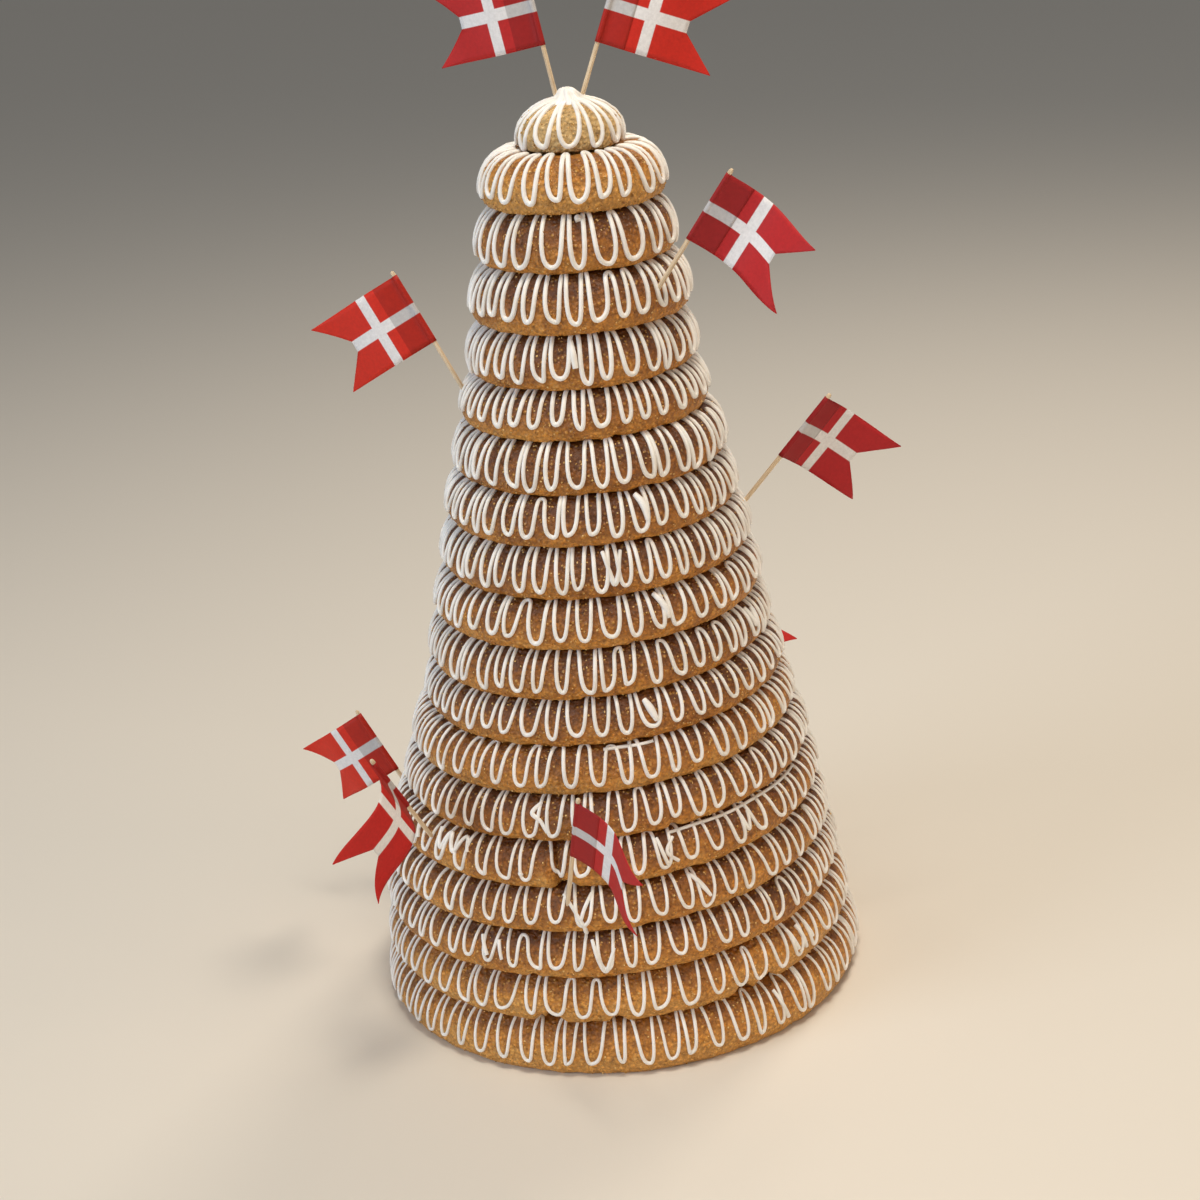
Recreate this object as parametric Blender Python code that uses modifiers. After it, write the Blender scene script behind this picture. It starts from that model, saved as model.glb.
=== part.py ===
"""Kransekake: a tower of eighteen baked almond-dough rings, a small knob and nine paper flags on picks.

Metres, +Z up. Each ring is a closed hoop of dough, flat underneath and rounded above, a little smaller
than the ring that it rests on, so the tower is hollow and open at the bottom. Ring 1 is the smallest and
lies at the top. The picks are pushed into holes in the dough, and each flag is paper wrapped once round its
pick. The origin is under the middle of the whole, on the surface that the bottom ring rests on.
"""

import math
import random

import bmesh
import bpy
from mathutils import Euler, Matrix, Vector

MM = 0.001
GAP = 0.3 * MM  # between pieces that touch

# The tower: an even step from ring to ring, top to bottom.
RING_COUNT = 18
TOP_RING_RADIUS = 43.5 * MM
RADIUS_STEP = 4.5 * MM
RING_HEIGHT = 23.5 * MM

# Where it leaves that step: by how much at most, the ring where that is, and how many rings away it has faded.
WAIST = (-2 * MM, 4.5, 4)
BELLY = (5 * MM, 15, 5)
PUFFED = (3.5 * MM, 2.5, 2.5)
SQUASHED = (-2.6 * MM, 13.5, 5)
PUSHED_LEFT = (-2.6 * MM, 14.5, 4.5)
BOTTOM_RING_TALLER = 3 * MM

# What is left is chance: each ring comes out a little wider, taller or further aside, by up to this much.
UNEVEN = 0.8 * MM
UNEVEN_SEED = 4

# One hoop of dough in section.
RING_WIDTH = 26 * MM
BASE_INSET = 5 * MM
INNER_BASE_INSET = 4 * MM
WIDEST_AT = 0.3
SHOULDER_INSET = 3.5 * MM
SHOULDER_AT = 0.76
CROWN_OUTER_INSET = 9.5 * MM
CROWN_INNER_INSET = 4.5 * MM

# The tower settled while it was built: it leans to one side, and its lower rings dip to the left.
LEAN = 10 * MM
LEAN_POWER = 1.5
DIP = math.radians(2.2)
DIP_HEIGHT = 250 * MM
TOP_DIP = math.radians(-1.0)

KNOB_RADIUS = 24.5 * MM
KNOB_HEIGHT = 19.5 * MM
KNOB_BASE_INSET = 1.2 * MM
KNOB_WIDEST_AT = 0.3
KNOB_ARC_POINTS = 5
KNOB_STEPS = 20

PICK_LENGTH = 78 * MM
PICK_RADIUS = 1.1 * MM
PICK_POINT = 7 * MM
PICK_HEAD = 0.6 * MM
PICK_SIDES = 8
HOLE_DEEPER = 0.5 * MM

FLAG_HOIST = 36 * MM
FLAG_FLY = 54 * MM
FLAG_BELOW_HEAD = 2.5 * MM
PAPER = 0.5 * MM
NOTCH_DEPTH = 16 * MM
NOTCH_FLAT = 5.5 * MM
TIP_BLUNT = 0.4 * MM
WRAP_POINTS = 8
FLY_POINTS = 6

# Where each pick goes in: the ring (0 for the knob), degrees round from the front towards the right, and
# height as a share of the ring. Then how far it is pushed in (mm), how steeply it rises, the way it leans as
# degrees round from the front, the turn of the flag about it, and how far the paper bows (mm).
PICKS = (
    (0, -150, 0.80, 10, 80, -110, -95, 3),
    (0, 150, 0.80, 9, 68, 100, -100, -3),
    (3, 42, 0.50, 9, 54, 67, -100, 5),
    (5, -88, 0.60, 12, 61, -116, -84, 3),
    (8, 87, 0.70, 11, 48, 91, -64, 3),
    (14, 154, 0.50, 12, 30, 154, -140, 2),
    (14, -56, 0.70, 12, 58, -37, -68, 7),
    (15, -12, 0.80, 6, 66, 20, -78, 4),
    (16, -120, 0.70, 12, 57, -118, -96, 3),
)
KNOB_PICK_RADIUS = 9 * MM
RING_PICK_INSET = 2 * MM

# How far the cutters reach past what they cut.
HOLE_OUTSIDE = 30 * MM
NOTCH_OUTSIDE = 4 * MM
NOTCH_HALF_THICKNESS = 20 * MM

DOUGH_TOP = (0.52, 0.24, 0.055)
DOUGH_LOW = (0.42, 0.17, 0.035)
KNOB_DOUGH = (0.68, 0.42, 0.17)
WOOD = (0.72, 0.55, 0.33)
RED_PAPER = (0.45, 0.012, 0.018)
DOUGH_ROUGHNESS = 0.55
KNOB_ROUGHNESS = 0.5
WOOD_ROUGHNESS = 0.6
PAPER_ROUGHNESS = 0.6

# Edges that turn by less than this (degrees) are shaded smooth.
DOUGH_SMOOTH = 50
PICK_SMOOTH = 40
PAPER_SMOOTH = 35


def empty_scene():
    for obj in list(bpy.data.objects):
        bpy.data.objects.remove(obj, do_unlink=True)


def new_collection(name):
    collection = bpy.data.collections.new(name)
    bpy.context.scene.collection.children.link(collection)
    return collection


def give_material(mesh, colour, roughness):
    material = bpy.data.materials.new(mesh.name + "_finish")
    material.use_nodes = True
    shader = material.node_tree.nodes["Principled BSDF"]
    shader.inputs["Base Color"].default_value = (*colour, 1.0)
    shader.inputs["Roughness"].default_value = roughness
    shader.inputs["Metallic"].default_value = 0.0
    mesh.materials.clear()
    mesh.materials.append(material)


def between(low, high, share):
    return tuple(a + (b - a) * share for a, b in zip(low, high))


def turned_mesh(name, profile, steps, closed):
    """The mesh that a profile of (radius, height) points makes when it is turned once round Z."""
    outline = bpy.data.meshes.new(name + "_outline")
    points = [(radius, 0.0, height) for radius, height in profile]
    edges = [(i, i + 1) for i in range(len(points) - 1)]
    if closed:
        edges.append((len(points) - 1, 0))
    outline.from_pydata(points, edges, [])
    guide = bpy.data.objects.new(name + "_outline", outline)
    bpy.context.scene.collection.objects.link(guide)
    screw = guide.modifiers.new("Turn", "SCREW")
    screw.axis = "Z"
    screw.angle = math.tau
    screw.steps = steps
    screw.render_steps = steps
    screw.use_merge_vertices = True
    screw.merge_threshold = 0.00005
    mesh = evaluated_mesh(guide)
    mesh.name = name
    bpy.data.objects.remove(guide, do_unlink=True)
    return mesh


def evaluated_mesh(obj):
    graph = bpy.context.evaluated_depsgraph_get()
    return bpy.data.meshes.new_from_object(obj.evaluated_get(graph))


def add_object(name, mesh, collection, parent):
    obj = bpy.data.objects.new(name, mesh)
    collection.objects.link(obj)
    obj.parent = parent
    return obj


def smooth(mesh, angle):
    mesh.shade_smooth()
    mesh.set_sharp_from_angle(angle=math.radians(angle))


def settled(point):
    """Where a point of the straight tower ends up in the leaning, dipping one."""
    height = max(point.z, 0.0)
    lean = LEAN * (height / TOWER_HEIGHT) ** LEAN_POWER
    if height < DIP_HEIGHT:
        dip = DIP * math.sin(math.pi * height / DIP_HEIGHT)
    else:
        dip = TOP_DIP * ((height - DIP_HEIGHT) / (TOWER_HEIGHT - DIP_HEIGHT)) ** 2
    return Vector((point.x + lean, point.y, point.z + point.x * math.tan(dip)))


def settle(mesh):
    for vertex in mesh.vertices:
        vertex.co = settled(vertex.co)


# --- the rings ---------------------------------------------------------------------------------------------


def ring_profile(radius, height):
    """The hoop's section, from the crown down the outer side and back up the inner side."""
    inner = radius - RING_WIDTH
    return (
        (radius - CROWN_OUTER_INSET, height),
        (radius - SHOULDER_INSET, SHOULDER_AT * height),
        (radius, WIDEST_AT * height),
        (radius - BASE_INSET, 0.0),
        (inner + INNER_BASE_INSET, 0.0),
        (inner, 0.4 * height),
        (inner + CROWN_INNER_INSET, height),
    )


def ring_steps(radius):
    """More sides on a larger ring, always a multiple of four."""
    return 20 + 4 * round(radius / (36 * MM))


def swell(ring, amount, middle, reach):
    """The most at its middle ring, and nothing from its reach on, as one smooth wave."""
    away = min(1.0, abs(ring - middle) / reach)
    return amount * (0.5 + 0.5 * math.cos(math.pi * away))


def tower_rings():
    """Radius, height and sideways nudge of each ring, from the top one down."""
    chance = random.Random(UNEVEN_SEED)
    rings = []
    for number in range(1, RING_COUNT + 1):
        wider, taller, aside = (chance.uniform(-UNEVEN, UNEVEN) for _ in range(3))
        radius = TOP_RING_RADIUS + RADIUS_STEP * (number - 1) + wider
        radius += swell(number, *WAIST) + swell(number, *BELLY)
        height = RING_HEIGHT + taller + swell(number, *PUFFED) + swell(number, *SQUASHED)
        if number == RING_COUNT:
            height += BOTTOM_RING_TALLER
        rings.append((radius, height, aside + swell(number, *PUSHED_LEFT)))
    return rings


ring_radii, ring_pitches, ring_nudges = zip(*tower_rings())
ring_bases = [sum(ring_pitches[i + 1 :]) for i in range(RING_COUNT)]
TOWER_HEIGHT = sum(ring_pitches)


def make_ring(index, collection, parent):
    radius = ring_radii[index]
    name = f"ring_{index + 1:02d}"
    mesh = turned_mesh(
        name, ring_profile(radius, ring_pitches[index] - GAP), ring_steps(radius), True
    )
    mesh.transform(Matrix.Translation((ring_nudges[index], 0, ring_bases[index])))
    settle(mesh)
    smooth(mesh, DOUGH_SMOOTH)
    colour = between(DOUGH_TOP, DOUGH_LOW, index / (RING_COUNT - 1))
    give_material(mesh, colour, DOUGH_ROUGHNESS)
    return add_object(name, mesh, collection, parent)


# --- the knob ----------------------------------------------------------------------------------------------


def knob_profile():
    """A low dome: an elliptic arc from the top to the widest point, then a short tuck to the flat base."""
    widest = KNOB_WIDEST_AT * KNOB_HEIGHT
    arc = []
    for i in range(KNOB_ARC_POINTS + 1):
        angle = math.pi / 2 * (1 - i / KNOB_ARC_POINTS)
        arc.append(
            (
                KNOB_RADIUS * math.cos(angle),
                widest + (KNOB_HEIGHT - widest) * math.sin(angle),
            )
        )
    arc[0] = (0.0, KNOB_HEIGHT)
    return (*arc, (KNOB_RADIUS - KNOB_BASE_INSET, 0.0), (0.0, 0.0))


def make_knob(collection, parent):
    mesh = turned_mesh("knob", knob_profile(), KNOB_STEPS, False)
    mesh.transform(Matrix.Translation((0, 0, TOWER_HEIGHT)))
    settle(mesh)
    smooth(mesh, DOUGH_SMOOTH)
    give_material(mesh, KNOB_DOUGH, KNOB_ROUGHNESS)
    return add_object("knob", mesh, collection, parent)


# --- the picks and their flags -----------------------------------------------------------------------------


def make_pick_mesh():
    """The one mesh that all nine picks share: a thin rod with a blunt head and a sharpened foot at z = 0."""
    profile = (
        (0.0, PICK_LENGTH),
        (PICK_RADIUS * 0.6, PICK_LENGTH),
        (PICK_RADIUS, PICK_LENGTH - PICK_HEAD),
        (PICK_RADIUS, PICK_POINT),
        (PICK_RADIUS * 0.25, 0.0),
        (0.0, 0.0),
    )
    mesh = turned_mesh("pick", profile, PICK_SIDES, False)
    smooth(mesh, PICK_SMOOTH)
    give_material(mesh, WOOD, WOOD_ROUGHNESS)
    return mesh


def entry_point(ring, around, share):
    """The point of the dough's surface where a pick goes in, in the straight tower's terms, then settled."""
    angle = math.radians(around)
    if ring == 0:
        radius = KNOB_PICK_RADIUS
        height = TOWER_HEIGHT + share * KNOB_HEIGHT
        nudge = 0.0
    else:
        radius = ring_radii[ring - 1] - RING_PICK_INSET
        height = ring_bases[ring - 1] + share * ring_pitches[ring - 1]
        nudge = ring_nudges[ring - 1]
    return settled(
        Vector((nudge + radius * math.sin(angle), -radius * math.cos(angle), height))
    )


def flag_outline(bow):
    """The paper seen from above: a loop round the pick, and a sheet that runs out with a shallow bow."""
    inner = PICK_RADIUS + GAP
    outer = inner + PAPER
    half = PAPER / 2
    start = math.asin(half / outer)
    loop = []
    for i in range(WRAP_POINTS + 1):
        angle = start + (math.tau - 2 * start) * i / WRAP_POINTS
        loop.append((outer * math.cos(angle), outer * math.sin(angle)))
    sheet = []
    for i in range(1, FLY_POINTS + 1):
        share = i / FLY_POINTS
        across = bow * math.sin(1.5 * math.pi * share)
        sheet.append((outer + (FLAG_FLY - outer) * share, across))
    lower = [(x, y - half) for x, y in sheet]
    upper = [(x, y + half) for x, y in reversed(sheet)]
    turns = [math.tau * i / WRAP_POINTS for i in range(WRAP_POINTS)]
    hole = [(inner * math.cos(turn), inner * math.sin(turn)) for turn in turns]
    return loop + lower + upper, hole


def flag_mesh(name, bow):
    """The outline pulled up along the pick by the flag's height, as a welded mesh with its foot at z = 0."""
    curve = bpy.data.curves.new(name + "_outline", "CURVE")
    curve.dimensions = "2D"
    curve.fill_mode = "BOTH"
    curve.extrude = FLAG_HOIST / 2
    for points in flag_outline(bow):
        spline = curve.splines.new("POLY")
        spline.points.add(len(points) - 1)
        for point, (x, y) in zip(spline.points, points):
            point.co = (x, y, 0.0, 1.0)
        spline.use_cyclic_u = True
    guide = bpy.data.objects.new(name + "_outline", curve)
    bpy.context.scene.collection.objects.link(guide)
    mesh = evaluated_mesh(guide)
    bpy.data.objects.remove(guide, do_unlink=True)
    mesh.name = name
    work = bmesh.new()
    work.from_mesh(mesh)
    bmesh.ops.remove_doubles(work, verts=work.verts, dist=0.00002)
    bmesh.ops.translate(work, verts=work.verts, vec=(0, 0, FLAG_HOIST / 2))
    bmesh.ops.recalc_face_normals(work, faces=work.faces)
    work.to_mesh(mesh)
    work.free()
    return mesh


def notch_cutter(name, collection, flag):
    """The wedge between the two tails: a trapezium in the plane of the flag, pulled through the paper."""
    middle = FLAG_HOIST / 2
    slope = (middle - TIP_BLUNT - NOTCH_FLAT / 2) / NOTCH_DEPTH
    root = FLAG_FLY - NOTCH_DEPTH
    end = FLAG_FLY + NOTCH_OUTSIDE
    reach = NOTCH_FLAT / 2 + slope * (end - root)
    corners = (
        (root, middle - NOTCH_FLAT / 2),
        (end, middle - reach),
        (end, middle + reach),
        (root, middle + NOTCH_FLAT / 2),
    )
    work = bmesh.new()
    face = work.faces.new([work.verts.new((x, -NOTCH_HALF_THICKNESS, z)) for x, z in corners])
    pulled = bmesh.ops.extrude_face_region(work, geom=[face])
    moved = [v for v in pulled["geom"] if isinstance(v, bmesh.types.BMVert)]
    bmesh.ops.translate(work, verts=moved, vec=(0, 2 * NOTCH_HALF_THICKNESS, 0))
    bmesh.ops.recalc_face_normals(work, faces=work.faces)
    mesh = bpy.data.meshes.new(name)
    work.to_mesh(mesh)
    work.free()
    cutter = as_cutter(bpy.data.objects.new(name, mesh), collection)
    cutter.parent = flag
    return cutter


def as_cutter(obj, collection):
    collection.objects.link(obj)
    obj.hide_render = True
    obj.display_type = "WIRE"
    return obj


def cut(obj, cutter):
    boolean = obj.modifiers.new("Cut " + cutter.name, "BOOLEAN")
    boolean.operation = "DIFFERENCE"
    boolean.solver = "EXACT"
    boolean.object = cutter


def hole_cutter(name, place, depth, collection, parent):
    """A rod a little wider than the pick, from just below its point to well outside the dough."""
    length = depth + HOLE_OUTSIDE
    work = bmesh.new()
    bmesh.ops.create_cone(
        work,
        cap_ends=True,
        segments=PICK_SIDES,
        radius1=PICK_RADIUS + GAP,
        radius2=PICK_RADIUS + GAP,
        depth=length,
        matrix=Matrix.Translation((0, 0, length / 2 - HOLE_DEEPER)),
    )
    mesh = bpy.data.meshes.new(name)
    work.to_mesh(mesh)
    work.free()
    cutter = as_cutter(bpy.data.objects.new(name, mesh), collection)
    cutter.parent = parent
    cutter.location = place.translation
    cutter.rotation_euler = place.to_euler()
    return cutter


def make_pick(number, spec, pieces, parts, cutters, parent):
    ring, around, share, pushed_mm, rise, heading, turn, bow_mm = spec
    depth = pushed_mm * MM
    lean = Euler((math.radians(90 - rise), 0.0, math.radians(heading)))
    along = lean.to_matrix() @ Vector((0, 0, 1))
    place = Matrix.Translation(entry_point(ring, around, share) - along * depth)
    place = place @ lean.to_matrix().to_4x4()

    pick = add_object(f"pick_{number}", parts["pick"], pieces, parent)
    pick.location = place.translation
    pick.rotation_euler = lean
    dough = parts["knob"] if ring == 0 else parts["rings"][ring - 1]
    cut(dough, hole_cutter(f"hole_{number}", place, depth, cutters, parent))

    name = f"flag_{number}"
    flag = add_object(name, flag_mesh(name, bow_mm * MM), pieces, pick)
    flag.location = (0, 0, PICK_LENGTH - FLAG_BELOW_HEAD - FLAG_HOIST)
    flag.rotation_euler = (0, 0, math.radians(turn))
    smooth(flag.data, PAPER_SMOOTH)
    give_material(flag.data, RED_PAPER, PAPER_ROUGHNESS)
    cut(flag, notch_cutter(f"notch_{number}", cutters, flag))


def stand_over_origin(middle, pieces):
    """Moves the whole sideways, so that the middle of its box is over the origin."""
    bpy.context.view_layer.update()
    graph = bpy.context.evaluated_depsgraph_get()
    corners = []
    for obj in pieces.objects:
        if obj.type == "MESH":
            body = obj.evaluated_get(graph)
            corners += [obj.matrix_world @ vertex.co for vertex in body.data.vertices]
    across = [corner.x for corner in corners]
    along = [corner.y for corner in corners]
    middle.location.x = -(min(across) + max(across)) / 2
    middle.location.y = -(min(along) + max(along)) / 2


def main():
    empty_scene()
    pieces = new_collection("kransekake")
    cutters = new_collection("cutters")
    middle = bpy.data.objects.new("kransekake_middle", None)
    pieces.objects.link(middle)

    rings = [make_ring(i, pieces, middle) for i in range(RING_COUNT)]
    knob = make_knob(pieces, middle)
    parts = {"rings": rings, "knob": knob, "pick": make_pick_mesh()}
    for number, spec in enumerate(PICKS, 1):
        make_pick(number, spec, pieces, parts, cutters, middle)
    stand_over_origin(middle, pieces)


main()
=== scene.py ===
"""The looks of a kransekake: baked almond rings with piped icing, a knob, and paper flags on picks."""

import math
import random

import bpy
from mathutils import Matrix, Vector, noise


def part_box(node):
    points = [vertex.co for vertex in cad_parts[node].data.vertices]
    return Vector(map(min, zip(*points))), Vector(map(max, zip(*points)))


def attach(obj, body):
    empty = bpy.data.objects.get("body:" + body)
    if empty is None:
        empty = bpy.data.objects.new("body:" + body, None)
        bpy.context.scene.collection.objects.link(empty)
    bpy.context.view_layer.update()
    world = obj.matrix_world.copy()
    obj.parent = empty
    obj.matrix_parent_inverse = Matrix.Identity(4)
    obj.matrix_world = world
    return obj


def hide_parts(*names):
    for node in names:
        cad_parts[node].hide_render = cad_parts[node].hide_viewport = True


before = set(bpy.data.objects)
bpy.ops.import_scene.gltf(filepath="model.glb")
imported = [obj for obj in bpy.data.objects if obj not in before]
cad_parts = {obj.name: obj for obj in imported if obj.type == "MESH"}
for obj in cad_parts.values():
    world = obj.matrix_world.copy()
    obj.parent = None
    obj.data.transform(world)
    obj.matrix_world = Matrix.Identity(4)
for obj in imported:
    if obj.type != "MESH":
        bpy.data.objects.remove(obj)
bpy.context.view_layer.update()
MM = 0.001


# --- The room ---------------------------------------------------------------------------------------------
# A plain pale floor and soft studio light: a warm lamp from the upper right, a cool window on the left and
# a pale sky all round. The camera looks down at the cake from the front, a little tipped over.

scene = bpy.context.scene
scene.view_settings.view_transform = "Standard"

ring_low, ring_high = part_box("ring_18")
cake_foot = (ring_low + ring_high) / 2
cake_foot.z = 0.0

CAMERA_PLACE = Vector((-1 * MM, -1049 * MM, 597 * MM))
CAMERA_YAW = math.radians(0.286)
CAMERA_DOWN = math.radians(20.918)
CAMERA_ROLL = math.radians(-5.333)
FLOOR_HALF = 14.0
FLOOR_COLOUR = (0.76, 0.71, 0.63, 1.0)


def aim(obj, place, yaw, down, roll):
    """Stands a camera or a lamp at a place, turned right by yaw, down by down, and rolled about its view."""
    forward = Vector(
        (math.sin(yaw) * math.cos(down), math.cos(yaw) * math.cos(down), -math.sin(down))
    )
    right = Vector((math.cos(yaw), -math.sin(yaw), 0.0))
    up = right.cross(forward)
    across = right * math.cos(roll) + up * math.sin(roll)
    above = up * math.cos(roll) - right * math.sin(roll)
    turn = Matrix((across, above, -forward)).transposed()
    obj.matrix_world = Matrix.Translation(place) @ turn.to_4x4()


camera_data = bpy.data.cameras.new("camera")
camera_data.lens = 68.1
camera_data.sensor_width = 36.0
camera = bpy.data.objects.new("camera", camera_data)
scene.collection.objects.link(camera)
aim(camera, cake_foot + CAMERA_PLACE, CAMERA_YAW, CAMERA_DOWN, CAMERA_ROLL)
scene.camera = camera

LAMPS = (
    # name, place (m), size (m), watts, colour
    ("ceiling", (0.1, -0.24, 1.5), 0.4, 10.8, (1.0, 0.91, 0.77)),
    ("lamp_right", (1.5, -0.7, 0.9), 0.6, 4.6, (1.0, 0.80, 0.58)),
    ("lamp_back", (0.6, 0.9, 1.4), 0.4, 8.0, (1.0, 0.88, 0.74)),
    ("window_cool", (-1.9, -0.9, 0.9), 1.2, 21.0, (0.77, 0.87, 1.0)),
    ("lamp_low", (0.2, -0.72, 0.15), 0.24, 0.85, (1.0, 0.81, 0.62)),
)
for lamp_name, lamp_place, lamp_size, watts, lamp_colour in LAMPS:
    lamp_data = bpy.data.lights.new(lamp_name, "AREA")
    lamp_data.size = lamp_size
    lamp_data.energy = watts
    lamp_data.color = lamp_colour
    lamp = bpy.data.objects.new(lamp_name, lamp_data)
    lamp.visible_camera = False
    scene.collection.objects.link(lamp)
    towards = Vector((0, 0, 0.25)) - Vector(lamp_place)
    lamp.matrix_world = (
        Matrix.Translation(lamp_place) @ towards.to_track_quat("-Z", "Y").to_matrix().to_4x4()
    )

world = bpy.data.worlds.new("room")
scene.world = world
world.use_nodes = True
world.node_tree.nodes["Background"].inputs["Color"].default_value = (0.86, 0.87, 0.88, 1.0)
world.node_tree.nodes["Background"].inputs["Strength"].default_value = 0.22


def place_node(tree, kind, settings, values):
    """Adds a node, sets its options, and fills or links its inputs by name or number."""
    made = tree.nodes.new(kind)
    for key, value in settings.items():
        setattr(made, key, value)
    for key, value in values.items():
        if isinstance(value, bpy.types.NodeSocket):
            tree.links.new(value, made.inputs[key])
        else:
            made.inputs[key].default_value = value
    return made


def start_finish(name, roughness):
    """A new material with its Principled shader: returns the material, its tree and the shader."""
    finish = bpy.data.materials.new(name)
    finish.use_nodes = True
    shader = finish.node_tree.nodes["Principled BSDF"]
    shader.inputs["Roughness"].default_value = roughness
    return finish, finish.node_tree, shader


def add_piece(name, mesh):
    obj = bpy.data.objects.new(name, mesh)
    scene.collection.objects.link(obj)
    return obj


floor_mesh = bpy.data.meshes.new("floor")
floor_corners = [(-1, -1), (1, -1), (1, 1), (-1, 1)]
floor_mesh.from_pydata(
    [(x * FLOOR_HALF, y * FLOOR_HALF, 0.0) for x, y in floor_corners], [], [(0, 1, 2, 3)]
)
floor = add_piece("floor", floor_mesh)
floor_finish, floor_tree, floor_shader = start_finish("floor_paint", 0.7)
floor_shader.inputs["Base Color"].default_value = FLOOR_COLOUR
floor_mesh.materials.append(floor_finish)


# --- The dough rings --------------------------------------------------------------------------------------
# Eighteen hoops of almond dough, rolled by hand, joined end to end and baked: flat underneath, bulging at the
# side, darker on top and paler at the lower lip, partly from browning and partly as painted shade under the
# ring above, with a grainy crust, torn lips and a pressed joint.

RING_COUNT = 18
AROUND_STEP = 1.6 * MM
SECTION = (
    # inset from the outer edge (mm), share of the height, points as far as the next one
    (15.5, 1.0, 3),
    (9.3, 0.975, 5),
    (3.6, 0.80, 6),
    (0.3, 0.47, 4),
    (0.3, 0.22, 4),
    (2.0, 0.05, 3),
    (5.0, 0.0, 3),
    (13.0, 0.0, 3),
    (21.5, 0.0, 2),
    (25.3, 0.12, 2),
    (26.0, 0.45, 3),
    (24.2, 0.85, 2),
    (21.0, 0.975, 2),
)
HOOP_WIDTH = 26 * MM
CORE_INSET = 13 * MM
CORE_SHARE = 0.38
RADIAL_WANDER = 0.7 * MM
HEIGHT_WANDER = 0.5 * MM
LIP_WANDER = 0.9 * MM
SMOOTH_BELOW = 3 * MM
JOINT_WIDTH = 2.2 * MM
JOINT_DEPTH = 6.0 * MM
JOINT_SLANT = 3 * MM
FOLD_HIGH = 1.1 * MM
FOLD_WIDTH = 3 * MM
FOLD_ASIDE = 4 * MM
LIP_SHARE = 0.35
LIP_SINKS = 0.4
# Painted shade under the ring above: the crust darkens from this share of the height up, on top of its
# browning.
CROWN_SHADE_FROM = 0.62
CROWN_PAINTED_SHADE = 0.3

# Where each roll of dough was joined, in degrees from the front towards the right.
JOINTS = (
    150, 200, -140, 170, 120, -160, 210, 140, -150,
    165, 130, 190, -170, -15.5, 150, -130, 175, 160,
)

# Torn places in the lower lips: the ring, degrees from the front, width and height (mm).
TORN_LIPS = (
    (17, -19, 16, 5.4),
    (17, -2.6, 9, 3.6),
    (17, 29, 12, 4.8),
    (17, 36, 16, 4.4),
    (13, 16, 5, 2.2),
    (16, -22, 8, 1.6),
    (14, -12.5, 10, 4.6),
    (10, -6, 7, 1.4),
    (9, 10, 6, 1.2),
    (5, 12, 6, 1.0),
)

# How much darker each ring's crust is, beside the middle one: partly its own browning and partly painted
# light, lighter on the top ring and the two at the foot, darker on the middle rings.
BROWNED_AND_PAINTED_LIGHT = (
    -0.42, 0.14, 0.19, 0.21, 0.17, 0.26, 0.24, 0.25, 0.07,
    0.16, 0.12, -0.08, 0.09, 0.04, 0.02, 0.03, -0.27, -0.29,
)


def measure_hoop(node):
    """How a hoop lies in the tower: its radius and height, and the middle and tilt of its base and crown."""
    low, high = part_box(node)
    middle = (low + high) / 2
    points = {tuple(round(c, 6) for c in v.co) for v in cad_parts[node].data.vertices}
    ends = []
    for side in (-1, 1):
        section = [p for p in points if abs(p[1] - middle.y) < 1 * MM and (p[0] - middle.x) * side > 0]
        section.sort(key=lambda p: p[2])
        base = [(a + b) / 2 for a, b in zip(section[0], section[1])]
        crown = [(a + b) / 2 for a, b in zip(section[-1], section[-2])]
        ends.append((base, crown))
    hoop = {"y": middle.y, "radius": (high.y - low.y) / 2}
    for index, part in enumerate(("base", "crown")):
        left, right = ends[0][index], ends[1][index]
        hoop[part + "_x"] = (left[0] + right[0]) / 2
        hoop[part + "_z"] = (left[2] + right[2]) / 2
        hoop[part + "_tilt"] = (right[2] - left[2]) / (right[0] - left[0])
    hoop["height"] = hoop["crown_z"] - hoop["base_z"]
    return hoop


def seat(mesh, hoop):
    """Moves a piece made round the origin to the hoop's place, with the hoop's lean and tilt."""
    for vertex in mesh.vertices:
        x, y, z = vertex.co
        share = z / hoop["height"]
        lean = hoop["base_x"] + (hoop["crown_x"] - hoop["base_x"]) * share
        tilt = hoop["base_tilt"] + (hoop["crown_tilt"] - hoop["base_tilt"]) * share
        vertex.co = (x + lean, y + hoop["y"], hoop["base_z"] + z + x * tilt)


def smooth_loop(points):
    """A closed smooth curve through (x, y, count) points, with count steps from each to the next."""
    loop = []
    total = len(points)
    for i in range(total):
        before, start, end, after = (Vector(points[(i + k) % total][:2]) for k in (-1, 0, 1, 2))
        for step in range(points[i][2]):
            t = step / points[i][2]
            loop.append(
                0.5
                * (
                    2 * start
                    + (end - before) * t
                    + (2 * before - 5 * start + 4 * end - after) * t**2
                    + (3 * start - before - 3 * end + after) * t**3
                )
            )
    return loop


def mark(mesh, name, values):
    """Stores a number for each point of the mesh, under a name that its tree or material reads."""
    mesh.attributes.new(name, "FLOAT", "POINT").data.foreach_set("value", values)


def arc_gap(angle, other):
    """The signed angle from other to angle, in radians, within half a turn."""
    return (angle - other + math.pi) % math.tau - math.pi


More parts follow.
